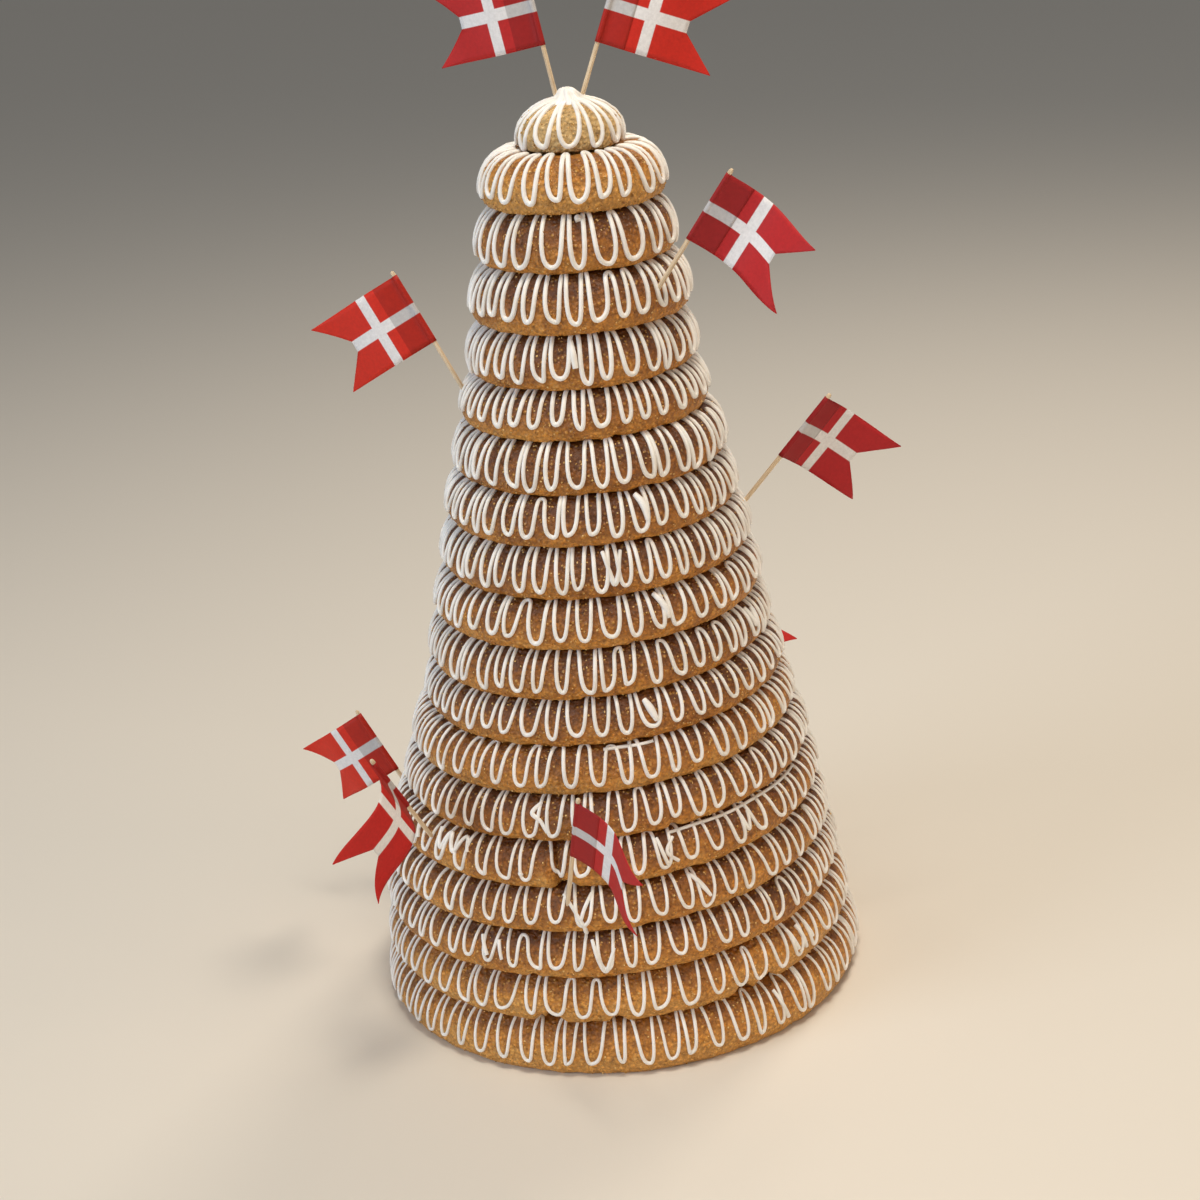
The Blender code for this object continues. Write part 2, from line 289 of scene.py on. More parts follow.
def hoop_mesh(number, hoop):
    """The hoop as a grid round the origin: uneven in radius and height, torn at the lip and joined once."""
    radius, height = hoop["radius"], hoop["height"]
    loop = smooth_loop([(inset * MM, share * height, count) for inset, share, count in SECTION])
    steps = round(math.tau * radius / AROUND_STEP)
    joint = math.radians(JOINTS[number - 1])
    tears = [tear for tear in TORN_LIPS if tear[0] == number]
    points = []
    browned = []
    grainy = []
    for i in range(steps):
        angle = math.tau * i / steps
        outward = Vector((math.sin(angle), -math.cos(angle), 0.0))
        slow = outward * 2.2 + Vector((0, 0, number * 7.3))
        quick = outward * radius / (7 * MM) + Vector((0, 0, number * 3.1))
        wider = RADIAL_WANDER * noise.noise(slow)
        taller = HEIGHT_WANDER * noise.noise(slow + Vector((5, 5, 5)))
        sag = LIP_WANDER * noise.noise(quick)
        torn = 0.0
        for _, degrees, tear_width, tear_height in tears:
            away = abs(arc_gap(angle, math.radians(degrees))) * radius / (tear_width * MM / 2)
            ragged = 0.75 + 0.5 * noise.noise(quick * 3)
            torn += tear_height * MM * ragged * max(0.0, 1 - away**2)
        along = arc_gap(angle, joint) * radius
        for inset, z in loop:
            share = z / height
            outer = 1.0 - min(inset / CORE_INSET, 1.0)
            lip = max(0.0, 1 - share / LIP_SHARE) * min(outer * 2, 1.0)
            slant = along + JOINT_SLANT * (share - 0.5)
            pressed = JOINT_DEPTH * math.exp(-((slant / JOINT_WIDTH) ** 2)) * min(outer * 2, 1.0)
            folded = FOLD_HIGH * math.exp(-(((slant + FOLD_ASIDE) / FOLD_WIDTH) ** 2)) * outer
            out = radius - inset + wider * outer - pressed + folded - LIP_SINKS * torn * lip
            up = z + taller * share + (sag + torn) * lip
            points.append(outward * out + Vector((0, 0, max(up, 0.0))))
            # Darker towards the crown, where the ring above sits: partly real browning, partly painted shade.
            crown = max(0.0, share - CROWN_SHADE_FROM) / (1 - CROWN_SHADE_FROM)
            bake_and_shade = share * (0.25 + 0.75 * outer) + 0.25 * (1 - outer) + CROWN_PAINTED_SHADE * crown
            browned.append(min(1.2, bake_and_shade) + BROWNED_AND_PAINTED_LIGHT[number - 1])
            grainy.append(min(1.0, outer * 1.6))
    count = len(loop)
    faces = []
    for i in range(steps):
        here, there = i * count, (i + 1) % steps * count
        for j in range(count):
            k = (j + 1) % count
            faces.append((here + j, here + k, there + k, there + j))
    mesh = bpy.data.meshes.new(f"dough_ring_{number:02d}")
    mesh.from_pydata(points, [], faces)
    # Stores the browning together with its painted shade and painted light, for the dough finish.
    mark(mesh, "browned", browned)
    mark(mesh, "outer", grainy)
    return mesh


def start_tree(name, sockets):
    """A new Geometry Nodes tree with named inputs: returns the tree, its input node and its output node."""
    tree = bpy.data.node_groups.new(name, "GeometryNodeTree")
    tree.interface.new_socket("Geometry", in_out="INPUT", socket_type="NodeSocketGeometry")
    for label, kind in sockets:
        tree.interface.new_socket(label, in_out="INPUT", socket_type="NodeSocket" + kind)
    tree.interface.new_socket("Geometry", in_out="OUTPUT", socket_type="NodeSocketGeometry")
    return tree, tree.nodes.new("NodeGroupInput"), tree.nodes.new("NodeGroupOutput")


def keep_result(obj, modifier):
    """Makes what the modifier shows the object's own plain mesh."""
    graph = bpy.context.evaluated_depsgraph_get()
    mesh = bpy.data.meshes.new_from_object(obj.evaluated_get(graph))
    obj.modifiers.remove(modifier)
    mesh.name = obj.name
    obj.data = mesh


def grow(obj, tree, values):
    """Runs a tree on the object with these named inputs, and keeps the result."""
    modifier = obj.modifiers.new(tree.name, "NODES")
    modifier.node_group = tree
    for item in tree.interface.items_tree:
        if item.item_type == "SOCKET" and item.in_out == "INPUT" and item.name in values:
            modifier[item.identifier] = values[item.name]
    keep_result(obj, modifier)


def math_node(tree, operation, first, second):
    return place_node(tree, "ShaderNodeMath", {"operation": operation}, {0: first, 1: second}).outputs[0]


def vector_node(tree, operation, values):
    return place_node(tree, "ShaderNodeVectorMath", {"operation": operation}, values).outputs[0]


def noise_node(tree, vector, scale, detail, roughness):
    values = {"Vector": vector, "Scale": scale, "Detail": detail, "Roughness": roughness}
    return place_node(tree, "ShaderNodeTexNoise", {}, values).outputs[0]


def range_node(tree, value, low, high, to_low, to_high):
    values = {"Value": value, "From Min": low, "From Max": high, "To Min": to_low, "To Max": to_high}
    return place_node(tree, "ShaderNodeMapRange", {}, values).outputs[0]


def geometry_node(tree, kind, values):
    """A Geometry Nodes node with its options as they come: returns its first output."""
    return place_node(tree, "GeometryNode" + kind, {}, values).outputs[0]


def stored_node(tree, name):
    """The numbers that mark stored under a name."""
    settings = {"data_type": "FLOAT"}
    return place_node(tree, "GeometryNodeInputNamedAttribute", settings, {"Name": name}).outputs[0]


def random_node(tree, low, high, seed):
    """A random vector for each point, with each of its parts between low and high."""
    values = {"Min": (low, low, low), "Max": (high, high, high), "Seed": seed}
    return place_node(tree, "FunctionNodeRandomValue", {"data_type": "FLOAT_VECTOR"}, values).outputs[0]


def make_crust_tree():
    """Baked crust: lumps and fine pits pushed along the normals, and grains of sugar and almond stuck on."""
    tree, given, result = start_tree(
        "Baked crust",
        (
            ("Lump Size", "Float"),
            ("Lump Depth", "Float"),
            ("Pit Size", "Float"),
            ("Pit Depth", "Float"),
            ("Grains", "Float"),
            ("Grain Size", "Float"),
            ("Seed", "Int"),
            ("Dough", "Material"),
            ("Sugar", "Material"),
        ),
    )
    seed = given.outputs["Seed"]
    where = geometry_node(tree, "InputPosition", {})
    moved = vector_node(tree, "ADD", {0: where, 1: math_node(tree, "MULTIPLY", seed, 3.7)})
    depths = []
    for label, detail in (("Lump", 2.0), ("Pit", 3.0)):
        scale = math_node(tree, "DIVIDE", 1.0, given.outputs[label + " Size"])
        centred = math_node(tree, "SUBTRACT", noise_node(tree, moved, scale, detail, 0.5), 0.5)
        doubled = math_node(tree, "MULTIPLY", centred, 2.0)
        depths.append(math_node(tree, "MULTIPLY", doubled, given.outputs[label + " Depth"]))
    depth = math_node(tree, "ADD", depths[0], depths[1])
    height = place_node(tree, "ShaderNodeSeparateXYZ", {}, {0: where}).outputs[2]
    gentle = math_node(tree, "MULTIPLY", depth, range_node(tree, height, 0.0, SMOOTH_BELOW, 0.0, 1.0))
    push = vector_node(tree, "SCALE", {0: geometry_node(tree, "InputNormal", {}), "Scale": gentle})
    uneven = geometry_node(tree, "SetPosition", {"Geometry": given.outputs["Geometry"], "Offset": push})
    crust = geometry_node(tree, "SetMaterial", {"Geometry": uneven, "Material": given.outputs["Dough"]})

    thick = math_node(tree, "MULTIPLY", stored_node(tree, "outer"), given.outputs["Grains"])
    spots = geometry_node(
        tree, "DistributePointsOnFaces", {"Mesh": uneven, "Density": thick, "Seed": seed}
    )
    bit = geometry_node(tree, "MeshIcoSphere", {"Radius": given.outputs["Grain Size"], "Subdivisions": 1})
    turn = random_node(tree, 0.0, 6.28, seed)
    size = random_node(tree, 0.4, 1.3, seed)
    strewn = geometry_node(
        tree, "InstanceOnPoints", {"Points": spots, "Instance": bit, "Rotation": turn, "Scale": size}
    )
    real = geometry_node(tree, "RealizeInstances", {"Geometry": strewn})
    sugar = geometry_node(tree, "SetMaterial", {"Geometry": real, "Material": given.outputs["Sugar"]})
    joined = tree.nodes.new("GeometryNodeJoinGeometry")
    tree.links.new(sugar, joined.inputs[0])
    tree.links.new(crust, joined.inputs[0])
    shaded = geometry_node(tree, "SetShadeSmooth", {"Geometry": joined.outputs[0]})
    tree.links.new(shaded, result.inputs[0])
    return tree


def ramp_node(tree, value, stops):
    """A colour ramp with these (position, colour) stops, fed by a value."""
    made = place_node(tree, "ShaderNodeValToRGB", {}, {"Fac": value})
    ramp = made.color_ramp
    while len(ramp.elements) < len(stops):
        ramp.elements.new(0.5)
    for element, (position, colour) in zip(ramp.elements, stops):
        element.position = position
        element.color = (*colour, 1.0)
    return made.outputs[0]


def mix_node(tree, blend, share, first, second):
    made = place_node(tree, "ShaderNodeMix", {"data_type": "RGBA", "blend_type": blend}, {0: share})
    for socket, colour in ((made.inputs[6], first), (made.inputs[7], second)):
        if isinstance(colour, bpy.types.NodeSocket):
            tree.links.new(colour, socket)
        else:
            socket.default_value = (*colour, 1.0)
    return made.outputs[2]


def shade_node(tree, colour, value):
    """The colour made darker or lighter by a value round one."""
    grey = place_node(tree, "ShaderNodeCombineColor", {}, {0: value, 1: value, 2: value}).outputs[0]
    return mix_node(tree, "MULTIPLY", 1.0, colour, grey)


def bump_finish(tree, shader, height, strength, distance):
    """Gives the shader a fine relief of this depth, from a height."""
    values = {"Height": height, "Strength": strength, "Distance": distance}
    bump = place_node(tree, "ShaderNodeBump", {}, values)
    tree.links.new(bump.outputs["Normal"], shader.inputs["Normal"])


def make_grain_group():
    """Grain of a sugary crust: coarse patches, granule domes, crystal spots and pits as masks, and a height
    for the bump; the dough finish paints highlights on the domes, glints on the crystals and shade in the
    pits.
    """
    group = bpy.data.node_groups.new("Sugar grain", "ShaderNodeTree")
    group.interface.new_socket("Vector", in_out="INPUT", socket_type="NodeSocketVector")
    group.interface.new_socket("Patch Scale", in_out="INPUT", socket_type="NodeSocketFloat")
    group.interface.new_socket("Crystal Scale", in_out="INPUT", socket_type="NodeSocketFloat")
    labels = ("Patch", "Rounded", "Crystals", "Pits", "Height")
    for label in labels:
        group.interface.new_socket(label, in_out="OUTPUT", socket_type="NodeSocketFloat")
    given = group.nodes.new("NodeGroupInput")
    result = group.nodes.new("NodeGroupOutput")
    vector = given.outputs["Vector"]
    patch = noise_node(group, vector, given.outputs["Patch Scale"], 4.0, 0.6)
    cells = place_node(
        group, "ShaderNodeTexVoronoi", {}, {"Vector": vector, "Scale": given.outputs["Crystal Scale"]}
    )
    where = noise_node(group, vector, 150.0, 2.0, 0.5)
    rounded = range_node(group, cells.outputs["Distance"], 0.12, 0.62, 1.0, 0.0)
    near = range_node(group, cells.outputs["Distance"], 0.18, 0.36, 1.0, 0.0)
    chosen = range_node(group, where, 0.46, 0.56, 0.0, 1.0)
    crystals = math_node(group, "MULTIPLY", near, chosen)
    pits = range_node(group, noise_node(group, vector, 520.0, 3.0, 0.6), 0.55, 0.70, 0.0, 1.0)
    fine = noise_node(group, vector, 850.0, 4.0, 0.65)
    coarse = noise_node(group, vector, 300.0, 3.0, 0.6)
    relief = math_node(group, "ADD", math_node(group, "MULTIPLY", fine, 0.5), coarse)
    relief = math_node(group, "SUBTRACT", relief, math_node(group, "MULTIPLY", pits, 0.4))
    relief = math_node(group, "ADD", relief, math_node(group, "MULTIPLY", rounded, 0.85))
    for label, socket in zip(labels, (patch, rounded, crystals, pits, relief)):
        group.links.new(socket, result.inputs[label])
    return group


sugar_grain = make_grain_group()


def make_dough_finish(name, stops, crystal_glint_colour):
    """Baked dough: darker towards the crown, partly browning and partly painted shade, with toasted patches,
    granule domes painted lighter on top as painted highlights, golden crystals that are partly painted glints,
    and pits painted darker as painted shade.
    """
    finish, tree, shader = start_finish(name, 0.55)
    where = place_node(tree, "ShaderNodeTexCoord", {}, {}).outputs["Object"]
    grain = place_node(
        tree,
        "ShaderNodeGroup",
        {"node_tree": sugar_grain},
        {"Vector": where, "Patch Scale": 42.0, "Crystal Scale": 430.0},
    )
    # Browning together with painted shade under the ring above and painted light on some rings.
    browned = place_node(tree, "ShaderNodeAttribute", {"attribute_name": "browned"}, {}).outputs["Fac"]
    spread = range_node(tree, grain.outputs["Patch"], 0.3, 0.7, -0.22, 0.22)
    bake_and_shade = math_node(tree, "ADD", browned, spread)
    mottle = range_node(tree, noise_node(tree, where, 230.0, 3.0, 0.6), 0.3, 0.7, -0.16, 0.16)
    bake_and_shade = math_node(tree, "ADD", bake_and_shade, mottle)
    colour = ramp_node(tree, bake_and_shade, stops)
    speckle = noise_node(tree, where, 420.0, 4.0, 0.8)
    colour = shade_node(tree, colour, range_node(tree, speckle, 0.34, 0.66, 0.68, 1.34))
    # Painted highlight and shade: each granule dome is painted lighter on top and darker at its edges.
    colour = shade_node(tree, colour, range_node(tree, grain.outputs["Rounded"], 0.0, 1.0, 0.80, 1.18))
    # Painted shade: the pits are painted darker.
    pit_shade = math_node(tree, "MULTIPLY", grain.outputs["Pits"], 0.55)
    colour = mix_node(tree, "MULTIPLY", pit_shade, colour, (0.50, 0.40, 0.28))
    # Golden crystals: partly sugar crystals, partly painted glints.
    glint_share = math_node(tree, "MULTIPLY", grain.outputs["Crystals"], 0.36)
    colour = mix_node(tree, "MIX", glint_share, colour, crystal_glint_colour)
    tree.links.new(colour, shader.inputs["Base Color"])
    rough = range_node(tree, grain.outputs["Crystals"], 0.0, 1.0, 0.42, 0.15)
    tree.links.new(rough, shader.inputs["Roughness"])
    bump_finish(tree, shader, grain.outputs["Height"], 1.0, 0.9 * MM)
    return finish


DOUGH_STOPS = (
    (0.0, (0.66, 0.320, 0.070)),
    (0.25, (0.61, 0.250, 0.036)),
    (0.5, (0.405, 0.148, 0.018)),
    (0.78, (0.25, 0.080, 0.0085)),
    (1.0, (0.14, 0.040, 0.004)),
)
dough_finish = make_dough_finish("baked_dough", DOUGH_STOPS, (0.82, 0.50, 0.14))

sugar_finish, sugar_tree, sugar_shader = start_finish("sugar_bits", 0.3)
sugar_where = place_node(sugar_tree, "ShaderNodeTexCoord", {}, {}).outputs["Object"]
sugar_colour = ramp_node(
    sugar_tree,
    noise_node(sugar_tree, sugar_where, 700.0, 1.0, 0.5),
    ((0.35, (0.30, 0.12, 0.022)), (0.5, (0.60, 0.33, 0.085)), (0.68, (0.88, 0.62, 0.26))),
)
sugar_tree.links.new(sugar_colour, sugar_shader.inputs["Base Color"])

RING_GRAINS = 45000.0  # for each square metre of the outer face
TOP_RING_GRAINS = 150000.0
crust_tree = make_crust_tree()
hoops = []
dough_rings = []
for number in range(1, RING_COUNT + 1):
    hoop = measure_hoop(f"ring_{number:02d}")
    ring = add_piece(f"dough_ring_{number:02d}", hoop_mesh(number, hoop))
    grow(
        ring,
        crust_tree,
        {
            "Lump Size": 11 * MM,
            "Lump Depth": 0.7 * MM,
            "Pit Size": 3.2 * MM,
            "Pit Depth": 0.4 * MM,
            "Grains": TOP_RING_GRAINS if number == 1 else RING_GRAINS,
            "Grain Size": 0.52 * MM,
            "Seed": number,
            "Dough": dough_finish,
            "Sugar": sugar_finish,
        },
    )
    hoops.append(hoop)
    dough_rings.append(ring)


# --- The piped icing --------------------------------------------------------------------------------------
# White sugar icing piped on each ring in one unbroken line of tall loops, from under the ring above to near
# the lower lip. The line is a round bead that follows every bump of the crust.

BEAD_HIGH = 1.08 * MM
BEAD_LOW = 0.80 * MM
BEAD_SIDES = 10
RAY_REACH = 60 * MM
STROKE_POINTS = 14
STRAY_POINTS = 8
LEG_HIGH = 0.78
LEG_LOW = 0.42
BEND_ROUND = 0.35

# Loops on each ring. The piping starts anywhere, so the first loop stands up to half a loop off the front.
LOOPS = (23, 22, 30, 32, 35, 38, 42, 47, 43, 48, 48, 47, 54, 50, 57, 62, 57, 64)
FIRST_LOOP_SEED = 500

# How much wider each ring's loops are at the foot than at the top, and how low they hang, in degrees seen from
# the middle of the dough.
FOOT_WIDE = (
    0.14, 0.18, 0.12, 0.12, 0.04, 0.15, 0.12, 0.12, 0.12,
    0.04, 0.14, 0.0, 0.12, 0.07, 0.1, 0.08, 0.15, 0.04,
)
LOWEST = (-12, -24, -13, -19, -2, -18, -13, -12, -9, -13, -6, -10, -12, -8, -13, -7, -13, -15)
TOP_LEVEL = 86
TOP_RING_LEVEL = 108
LEVEL_SPREAD = 7

# How unevenly the hand moved: the share of loops left short and by how many degrees, how far the bends stray
# as shares of a loop's width, how the legs waver, and how much the bead swells at the low and the high bends.
SHORT_LOOPS = 0.09
SHORT_BY = (8, 24)
LOW_STRAY = (0.13, 0.3)
HIGH_STRAY = (0.10, 0.22)
LEG_WAVER = 0.055
WIDTH_WAVER = 0.13
LOW_SWELL = (1.0, 1.22)
HIGH_SWELL = (0.86, 1.04)

# Where the piping went astray: the ring, then the (degrees, level, swell) places of each extra stroke.
SLIPS = (
    (2, ((0.5, 70, 1.5), (1.5, 60, 1.6))),
    (4, ((-7, 64, 1.0), (-5.5, 34, 1.5), (-4.5, 6, 1.3))),
    (7, ((17, 64, 1.3), (19.5, 34, 1.9), (20, 4, 1.2))),
    (8, ((1, 62, 1.0), (3, 22, 1.1), (4.5, -6, 1.4), (6, 10, 1.2), (7, 38, 0.9), (8, 60, 0.9))),
    (9, ((19, 66, 1.3), (21.5, 34, 1.7), (22.5, 6, 1.0))),
    (10, ((60, 58, 1.1), (62, 8, 1.3), (63.5, 50, 1.0))),
    (11, ((11, 54, 1.3), (12.5, 30, 2.0), (14, 4, 1.2))),
    (12, ((-2, 63, 0.9), (4, 64, 1.0), (9, 62, 0.9), (14, 63, 0.8))),
    (13, ((-20, 58, 1.0), (-22.5, 34, 1.3), (-20, 18, 1.1), (-18, -8, 1.0))),
    (14, ((-54, 62, 1.2), (-51, 18, 1.3), (-49, 58, 1.4), (-46, 20, 1.3), (-43, 60, 1.1), (-41, 26, 1.0))),
    (14, ((-64, 50, 1.1), (-62, 10, 1.4))),
    (14, ((-24, 5, 1.4), (-24.6, 1, 1.5))),
    (14, ((14, 61, 0.9), (24, 63, 1.0), (34, 61, 1.0), (44, 62, 1.0), (54, 60, 1.0), (66, 62, 0.9))),
    (14, ((11.5, 58, 0.9), (12.5, 20, 1.1), (13.5, -6, 1.0))),
    (14, ((16, 52, 0.9), (13.5, 22, 1.0), (16.5, -4, 1.0))),
    (14, ((36, 54, 0.9), (37.5, 8, 1.1), (39, 50, 0.9))),
    (15, ((-13.5, 58, 1.0), (-11, 28, 1.0), (-9, -2, 1.1), (-8.2, -20, 1.2), (-8, -38, 1.3))),
    (15, ((-6, 58, 1.0), (-8, 24, 1.1), (-9, -2, 1.0))),
    (15, ((19, 62, 0.9), (21.5, 30, 1.5), (23.5, 0, 0.9))),
    (16, ((-7, 54, 1.0), (-5.5, 10, 1.3), (-4, -16, 1.4), (-2.8, 6, 1.2), (-1.6, 34, 1.0))),
    (16, ((-36, 50, 1.0), (-33.5, 4, 1.3))),
    (16, ((-31, 46, 1.2), (-29.5, 0, 1.0))),
    (17, ((44, 58, 1.1), (46, 0, 1.5))),
    (17, ((47.5, 54, 1.4), (49, -8, 1.3))),
    (17, ((50.5, 50, 1.3), (52, 4, 1.1))),
    (18, ((36, 60, 1.1), (38.5, -12, 1.5))),
    (3, ((170, 60, 1.0), (172, -6, 1.5), (175, 50, 1.2))),
    (6, ((-118, 60, 1.1), (-115, 4, 1.6), (-112, 48, 1.1))),
    (10, ((-150, 58, 1.1), (-148, 4, 1.5), (-145, 52, 1.1))),
    (13, ((128, 60, 1.1), (130, 10, 1.7), (132, 50, 1.1))),
    (17, ((160, 56, 1.1), (162, -2, 1.5), (164.5, 50, 1.1))),
)


def stray(rng, spread, most):
    """A chance amount round nought, never more than the most."""
    return max(-most, min(most, rng.gauss(0, spread)))


def loop_turns(number, count, first, bottom, top, spread):
    """The turning points of the loops, as (angle, level, swell): low, high, low, high, right round."""
    rng = random.Random(1000 + number)
    step = math.tau / count
    turns = []
    for i in range(count):
        angle = math.radians(first) + step * i
        wave = noise.noise(Vector((math.sin(angle) * 2.6, math.cos(angle) * 2.6, number * 4.1)))
        low = bottom + spread * (0.8 * wave + 0.45 * stray(rng, 1, 2.0))
        high = top + rng.uniform(-4, 4)
        if rng.random() < SHORT_LOOPS:
            high -= rng.uniform(*SHORT_BY)
        low_angle = angle + stray(rng, *LOW_STRAY) * step
        high_angle = angle + step / 2 + stray(rng, *HIGH_STRAY) * step
        turns.append((low_angle, math.radians(low), rng.uniform(*LOW_SWELL)))
        turns.append((high_angle, math.radians(high), rng.uniform(*HIGH_SWELL)))
    return turns


def stroke_line(turns, foot_wide, straight):
    """Points right round the piped line, flat: x is the angle, y the level and z the bead's swell."""
    line = []
    total = len(turns)
    for i in range(total):
        start = turns[i]
        end = turns[(i + 1) % total]
        angle_end = end[0] + (math.tau if i + 1 == total else 0.0)
        wide = foot_wide + WIDTH_WAVER * noise.noise(Vector((start[0] * 31, start[1] * 17, total)))
        wide = wide if i % 2 == 0 else -wide
        for step in range(STROKE_POINTS):
            f = step / STROKE_POINTS
            across = f + straight * math.sin(math.tau * f) / math.tau + wide * math.sin(math.pi * f) ** 2
            across += LEG_WAVER * noise.noise(Vector((start[0] * 40, f * 3, start[1] * 9)))
            eased = f - BEND_ROUND * math.sin(math.tau * f) / math.tau
            rise = 0.5 - 0.5 * math.cos(math.pi * eased)
            line.append(
                (
                    start[0] + (angle_end - start[0]) * across,
                    start[1] + (end[1] - start[1]) * rise,
                    start[2] + (end[2] - start[2]) * f,
                )
            )
    return line


def stray_line(places):
    """A smooth stroke through the places, given in degrees, flat like the piped lines."""
    knots = [Vector((math.radians(around), math.radians(level), swell)) for around, level, swell in places]
    knots = [knots[0] * 2 - knots[1], *knots, knots[-1] * 2 - knots[-2]]
    line = []
    for before, start, end, after in zip(knots, knots[1:], knots[2:], knots[3:]):
        for step in range(STRAY_POINTS):
            f = step / STRAY_POINTS
            bend = (end - before) * (f - 2 * f**2 + f**3) / 2 + (after - start) * (f**3 - f**2) / 2
            line.append(start * (1 - 3 * f**2 + 2 * f**3) + end * (3 * f**2 - 2 * f**3) + bend)
    line.append(knots[-2])
    return line


def line_mesh(name, lines):
    """A mesh of bare edges: one chain, or closed ring, of points for each line."""
    points = []
    edges = []
    for line, closed in lines:
        start = len(points)
        points.extend(line)
        edges.extend((start + i, start + i + 1) for i in range(len(line) - 1))
        if closed:
            edges.append((len(points) - 1, start))
    mesh = bpy.data.meshes.new(name)
    mesh.from_pydata(points, edges, [])
    return mesh


def make_piping_tree():
    """Piped bead: lays a flat line on the dough by rays towards its core, and gives it a round bead."""
    tree, given, result = start_tree(
        "Piped bead",
        (
            ("Dough", "Object"),
            ("Core Radius", "Float"),
            ("Core Height", "Float"),
            ("Bead", "Float"),
            ("Lift", "Float"),
            ("Sides", "Int"),
            ("Icing", "Material"),
        ),
    )
    where = geometry_node(tree, "InputPosition", {})
    parts = place_node(tree, "ShaderNodeSeparateXYZ", {}, {0: where}).outputs
    swell = place_node(
        tree,
        "GeometryNodeStoreNamedAttribute",
        {"data_type": "FLOAT", "domain": "POINT"},
        {"Geometry": given.outputs["Geometry"], "Name": "swell", "Value": parts[2]},
    ).outputs[0]
    sine = math_node(tree, "SINE", parts[0], 0.0)
    cosine = math_node(tree, "MULTIPLY", math_node(tree, "COSINE", parts[0], 0.0), -1.0)
    flat = math_node(tree, "COSINE", parts[1], 0.0)
    rise = math_node(tree, "SINE", parts[1], 0.0)
    outward = place_node(tree, "ShaderNodeCombineXYZ", {}, {0: sine, 1: cosine}).outputs[0]
    core = vector_node(tree, "SCALE", {0: outward, "Scale": given.outputs["Core Radius"]})
    lift = place_node(tree, "ShaderNodeCombineXYZ", {}, {2: given.outputs["Core Height"]}).outputs[0]
    core = vector_node(tree, "ADD", {0: core, 1: lift})
    level = vector_node(tree, "SCALE", {0: outward, "Scale": flat})
    up = place_node(tree, "ShaderNodeCombineXYZ", {}, {2: rise}).outputs[0]
    away = vector_node(tree, "ADD", {0: level, 1: up})
    far = vector_node(tree, "SCALE", {0: away, "Scale": RAY_REACH})
    source = vector_node(tree, "ADD", {0: core, 1: far})
    back = vector_node(tree, "SCALE", {0: away, "Scale": -1.0})
    dough = place_node(
        tree, "GeometryNodeObjectInfo", {"transform_space": "ORIGINAL"}, {"Object": given.outputs["Dough"]}
    ).outputs["Geometry"]
    ray = place_node(
        tree,
        "GeometryNodeRaycast",
        {},
        {
            "Target Geometry": dough,
            "Source Position": source,
            "Ray Direction": back,
            "Ray Length": RAY_REACH,
        },
    )
    proud = math_node(tree, "MULTIPLY", given.outputs["Bead"], given.outputs["Lift"])
    off = vector_node(tree, "SCALE", {0: away, "Scale": proud})
    laid = vector_node(tree, "ADD", {0: ray.outputs["Hit Position"], 1: off})
    on_dough = geometry_node(tree, "SetPosition", {"Geometry": swell, "Position": laid})
    eased = place_node(
        tree, "GeometryNodeBlurAttribute", {"data_type": "FLOAT_VECTOR"}, {"Value": where, "Iterations": 1}
    ).outputs[0]
    settled = geometry_node(tree, "SetPosition", {"Geometry": on_dough, "Position": eased})
    curve = geometry_node(tree, "MeshToCurve", {"Mesh": settled})
    thick = math_node(tree, "MULTIPLY", stored_node(tree, "swell"), given.outputs["Bead"])
    sized = geometry_node(tree, "SetCurveRadius", {"Curve": curve, "Radius": thick})
    circle = geometry_node(
        tree, "CurvePrimitiveCircle", {"Resolution": given.outputs["Sides"], "Radius": 1.0}
    )
    tube = geometry_node(
        tree, "CurveToMesh", {"Curve": sized, "Profile Curve": circle, "Scale": thick, "Fill Caps": True}
    )
    real = geometry_node(tree, "RealizeInstances", {"Geometry": tube})
    shaded = geometry_node(tree, "SetShadeSmooth", {"Geometry": real})
    white = geometry_node(tree, "SetMaterial", {"Geometry": shaded, "Material": given.outputs["Icing"]})
    tree.links.new(white, result.inputs[0])
    return tree


def make_icing_finish():
    """Dried sugar icing: off-white, faintly mottled, with a soft sheen and a slightly grainy skin."""
    finish, tree, shader = start_finish("sugar_icing", 0.4)
    where = place_node(tree, "ShaderNodeTexCoord", {}, {}).outputs["Object"]
    mottle = noise_node(tree, where, 90.0, 3.0, 0.5)
    colour = ramp_node(
        tree, mottle, ((0.35, (0.80, 0.76, 0.70)), (0.5, (0.88, 0.855, 0.815)), (0.65, (0.92, 0.90, 0.87)))
    )
    tree.links.new(colour, shader.inputs["Base Color"])
    rough = range_node(tree, noise_node(tree, where, 500.0, 2.0, 0.5), 0.3, 0.7, 0.32, 0.5)
    tree.links.new(rough, shader.inputs["Roughness"])
    bump_finish(tree, shader, noise_node(tree, where, 900.0, 3.0, 0.6), 0.35, 0.15 * MM)
    shader.inputs["Subsurface Weight"].default_value = 0.15
    shader.inputs["Subsurface Radius"].default_value = (1.0, 0.85, 0.7)
    shader.inputs["Subsurface Scale"].default_value = 1.0 * MM
    return finish


piping_tree = make_piping_tree()
icing_finish = make_icing_finish()


def pipe(name, lines, dough, core_radius, core_height, bead):
    """An icing piece: the flat lines laid on a piece of dough and given their bead."""
    piece = add_piece(name, line_mesh(name, lines))
    grow(
        piece,
        piping_tree,
        {
            "Dough": dough,
            "Core Radius": core_radius,
            "Core Height": core_height,
            "Bead": bead,
            "Lift": 0.45,
            "Sides": BEAD_SIDES,
            "Icing": icing_finish,
        },
    )
    return piece


